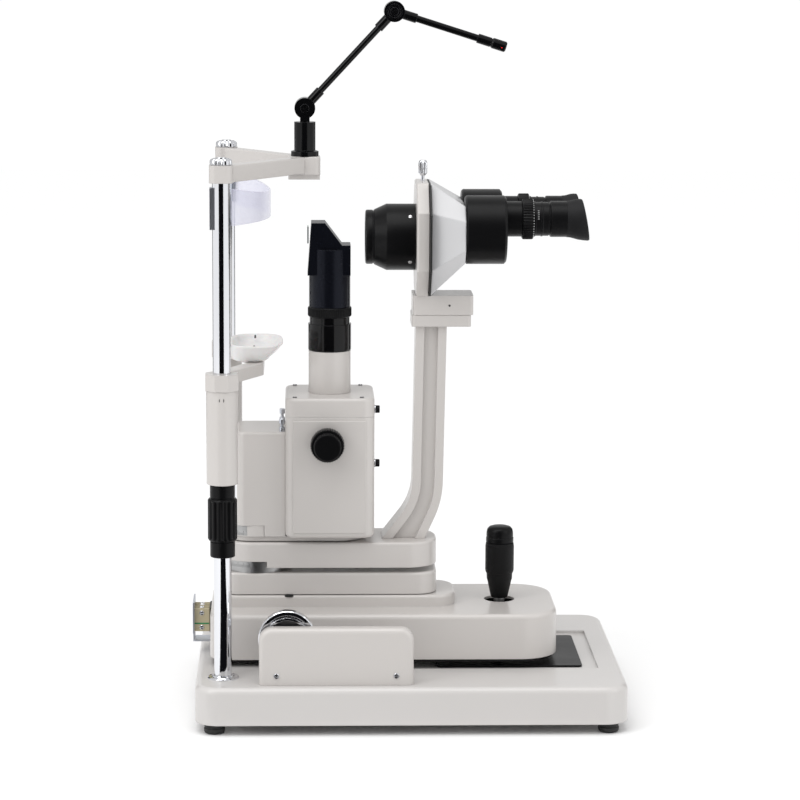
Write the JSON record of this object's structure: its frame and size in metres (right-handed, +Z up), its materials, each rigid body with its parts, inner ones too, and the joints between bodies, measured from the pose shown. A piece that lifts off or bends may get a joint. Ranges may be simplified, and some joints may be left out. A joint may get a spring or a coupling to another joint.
{
  "type": "slit lamp",
  "caption": "Table-top eye examination microscope with a swinging lamp tower, a joystick carriage, a chin and forehead rest and a jointed fixation lamp.",
  "frame": {"origin": "under the middle of the base, where the feet rest", "axes": "+X from the patient to the examiner, +Y to the examiner's right, +Z up"},
  "size_m": [0.4055, 0.3, 0.6657],
  "materials": {
    "cream_paint": "semi-gloss powder coat",
    "casting_paint": "fine-textured powder coat",
    "pale_paint": "smooth lacquer",
    "black_enamel": "satin black",
    "black_plastic": "moulded, ribbed grips",
    "black_aluminium": "black anodised",
    "chrome_plate": "polished",
    "bright_steel": "ground",
    "spring_steel": "drawn wire",
    "chin_plastic": "moulded",
    "clear_strip": "translucent",
    "foot_rubber": "moulded",
    "terminal_plastic": "moulded",
    "bronze_bush": "machined",
    "coated_glass": "polished",
    "lamp_glass": "clear"
  },
  "bodies": {
    "base": {"base_casting": "casting_paint", "rubber_feet": "foot_rubber", "track_rails": "bright_steel", "rail_covers": "cream_paint", "frame_screws": "chrome_plate", "glide_plate": "black_plastic", "posts": "chrome_plate", "post_fittings": "chrome_plate", "brow_bow": "cream_paint", "forehead_band": "clear_strip", "band_clips": "chrome_plate", "fixation_socket": "black_aluminium"},
    "height_nut": {"chin_height_nut": "black_plastic"},
    "chin_rest": {"chin_sleeves": "cream_paint", "chin_bar": "cream_paint", "chin_cup": "chin_plastic"},
    "fixation_swivel": {"fixation_stem": "black_aluminium"},
    "fixation_lower": {"fixation_lower_arm": "black_aluminium"},
    "fixation_upper": {"fixation_upper_arm": "black_aluminium"},
    "axle_frame": {"axle_sleeve": "chrome_plate"},
    "wheel_set": {"cross_axle": "bright_steel", "track_wheels": "chrome_plate"},
    "carriage": {"carriage_cover": "cream_paint", "carriage_deck": "black_enamel", "axle_bushes": "bronze_bush", "lift_guide": "bright_steel", "lift_spring": "spring_steel", "terminal_bracket": "bright_steel", "terminal_block": "terminal_plastic"},
    "lift_drive": {"lift_screw": "bright_steel"},
    "gimbal": {"gimbal_ring": "bright_steel"},
    "stick_tilt": {"joystick_sleeve": "bright_steel"},
    "stick": {"joystick_shaft": "bright_steel", "joystick_grip": "black_plastic"},
    "lift": {"lift_block": "cream_paint", "swing_post": "bright_steel"},
    "microscope": {"microscope_arm": "cream_paint", "microscope_column": "cream_paint", "microscope_platform": "cream_paint", "mount_plate": "cream_paint", "microscope_hood": "pale_paint", "objective_housing": "black_enamel", "objective_lens": "coated_glass"},
    "plate_screw": {"plate_thumb_screw": "chrome_plate"},
    "prism_left": {"prism_housing_left": "black_enamel"},
    "prism_right": {"prism_housing_right": "black_enamel"},
    "ocular_left": {"eyepiece_left": "black_plastic"},
    "ocular_right": {"eyepiece_right": "black_plastic"},
    "illumination": {"lamp_arm": "cream_paint", "lamp_bracket": "cream_paint", "lamp_housing": "cream_paint", "lamp_housing_lid": "cream_paint", "lamp_bulb": "lamp_glass", "tower_tube": "cream_paint", "tower_collar": "black_enamel", "mirror_head": "black_enamel"},
    "slit_control": {"slit_knobs": "black_plastic"},
    "slit_jaw_left": {"slit_blade_left": "black_aluminium"},
    "slit_jaw_right": {"slit_blade_right": "black_aluminium"},
    "aperture": {"aperture_ring": "black_plastic"}
  },
  "joints": [
    {"name": "fore_aft", "type": "slide", "parent": "base", "child": "axle_frame", "axis": [1, 0, 0], "range_m": [-0.005, 0.055]},
    {"name": "wheel_roll", "type": "hinge", "parent": "axle_frame", "child": "wheel_set", "pos_m": [-0.115, 0, 0.085], "axis": [0, 1, 0], "range_deg": [-12, 120]},
    {"name": "side_slide", "type": "slide", "parent": "axle_frame", "child": "carriage", "axis": [0, 1, 0], "range_m": [-0.025, 0.025]},
    {"name": "elevation", "type": "slide", "parent": "carriage", "child": "lift", "axis": [0, 0, 1], "range_m": [0, 0.015], "deforming": ["lift_spring"]},
    {"name": "lift_screw_turn", "type": "hinge", "parent": "carriage", "child": "lift_drive", "pos_m": [-0.145, 0, 0.08], "axis": [0, 0, 1], "range_deg": [-5, 545]},
    {"name": "stick_side_tilt", "type": "hinge", "parent": "carriage", "child": "gimbal", "pos_m": [0.0885, 0, 0.078], "axis": [1, 0, 0], "range_deg": [-8, 8]},
    {"name": "stick_fore_tilt", "type": "hinge", "parent": "gimbal", "child": "stick_tilt", "pos_m": [0.0885, 0, 0.078], "axis": [0, 1, 0], "range_deg": [-8, 8]},
    {"name": "stick_turn", "type": "hinge", "parent": "stick_tilt", "child": "stick", "pos_m": [0.0885, 0, 0.1], "axis": [0, 0, 1], "range_deg": [-5, 545]},
    {"name": "chin_lift", "type": "slide", "parent": "base", "child": "chin_rest", "axis": [0, 0, 1], "range_m": [0, 0.04]},
    {"name": "height_nut_turn", "type": "hinge", "parent": "base", "child": "height_nut", "pos_m": [-0.1745, -0.107, 0.19], "axis": [0, 0, 1], "range_deg": [-5, 1085]},
    {"name": "fixation_turn", "type": "hinge", "parent": "base", "child": "fixation_swivel", "pos_m": [-0.0985, 0, 0.54], "axis": [0, 0, 1], "range_deg": [-170, 170]},
    {"name": "fixation_lower_elbow", "type": "hinge", "parent": "fixation_swivel", "child": "fixation_lower", "pos_m": [-0.0985, 0, 0.566], "axis": [0, 1, 0], "range_deg": [-80, 15]},
    {"name": "fixation_upper_elbow", "type": "hinge", "parent": "fixation_lower", "child": "fixation_upper", "pos_m": [-0.015, 0, 0.656], "axis": [0, 1, 0], "range_deg": [-60, 50]},
    {"name": "microscope_swing", "type": "hinge", "parent": "lift", "child": "microscope", "pos_m": [-0.145, 0, 0.145], "axis": [0, 0, 1], "range_deg": [-40, 40]},
    {"name": "illumination_swing", "type": "hinge", "parent": "lift", "child": "illumination", "pos_m": [-0.145, 0, 0.165], "axis": [0, 0, 1], "range_deg": [-40, 40]},
    {"name": "plate_screw_turn", "type": "hinge", "parent": "microscope", "child": "plate_screw", "pos_m": [0.0125, 0, 0.505], "axis": [0, 0, 1], "range_deg": [0, 720]},
    {"name": "pupil_distance_left", "type": "hinge", "parent": "microscope", "child": "prism_left", "pos_m": [0.07, -0.033, 0.455], "axis": [1, 0, 0], "range_deg": [-15, 15]},
    {"name": "pupil_distance_right", "type": "hinge", "parent": "microscope", "child": "prism_right", "pos_m": [0.07, 0.033, 0.455], "axis": [1, 0, 0], "range_deg": [-16, 16]},
    {"name": "diopter_left", "type": "hinge", "parent": "prism_left", "child": "ocular_left", "pos_m": [0.12, -0.027, 0.4645], "axis": [1, 0, 0], "range_deg": [-120, 120]},
    {"name": "diopter_right", "type": "hinge", "parent": "prism_right", "child": "ocular_right", "pos_m": [0.12, 0.027, 0.4645], "axis": [1, 0, 0], "range_deg": [-120, 120]},
    {"name": "slit_turn", "type": "hinge", "parent": "illumination", "child": "slit_control", "pos_m": [-0.0775, 0, 0.255], "axis": [0, 1, 0], "range_deg": [0, 180]},
    {"name": "slit_open_left", "type": "slide", "parent": "illumination", "child": "slit_jaw_left", "axis": [0, -1, 0], "range_m": [0, 0.0036]},
    {"name": "slit_open_right", "type": "slide", "parent": "illumination", "child": "slit_jaw_right", "axis": [0, 1, 0], "range_m": [0, 0.0036]},
    {"name": "aperture_turn", "type": "hinge", "parent": "illumination", "child": "aperture", "pos_m": [-0.075, 0, 0.374], "axis": [0, 0, 1], "range_deg": [-100, 100]}
  ],
  "couplings": [
    {"joint": "wheel_roll", "follows": "fore_aft", "rad_per_m": 37.313},
    {"joint": "lift_screw_turn", "follows": "elevation", "rad_per_m": 628.32},
    {"joint": "stick_turn", "follows": "elevation", "rad_per_m": 628.32},
    {"joint": "height_nut_turn", "follows": "chin_lift", "rad_per_m": 471.24},
    {"joint": "pupil_distance_right", "follows": "pupil_distance_left", "ratio": -1},
    {"joint": "slit_open_left", "follows": "slit_turn", "m_per_rad": 0.0011141},
    {"joint": "slit_open_right", "follows": "slit_turn", "m_per_rad": 0.0011141}
  ]
}
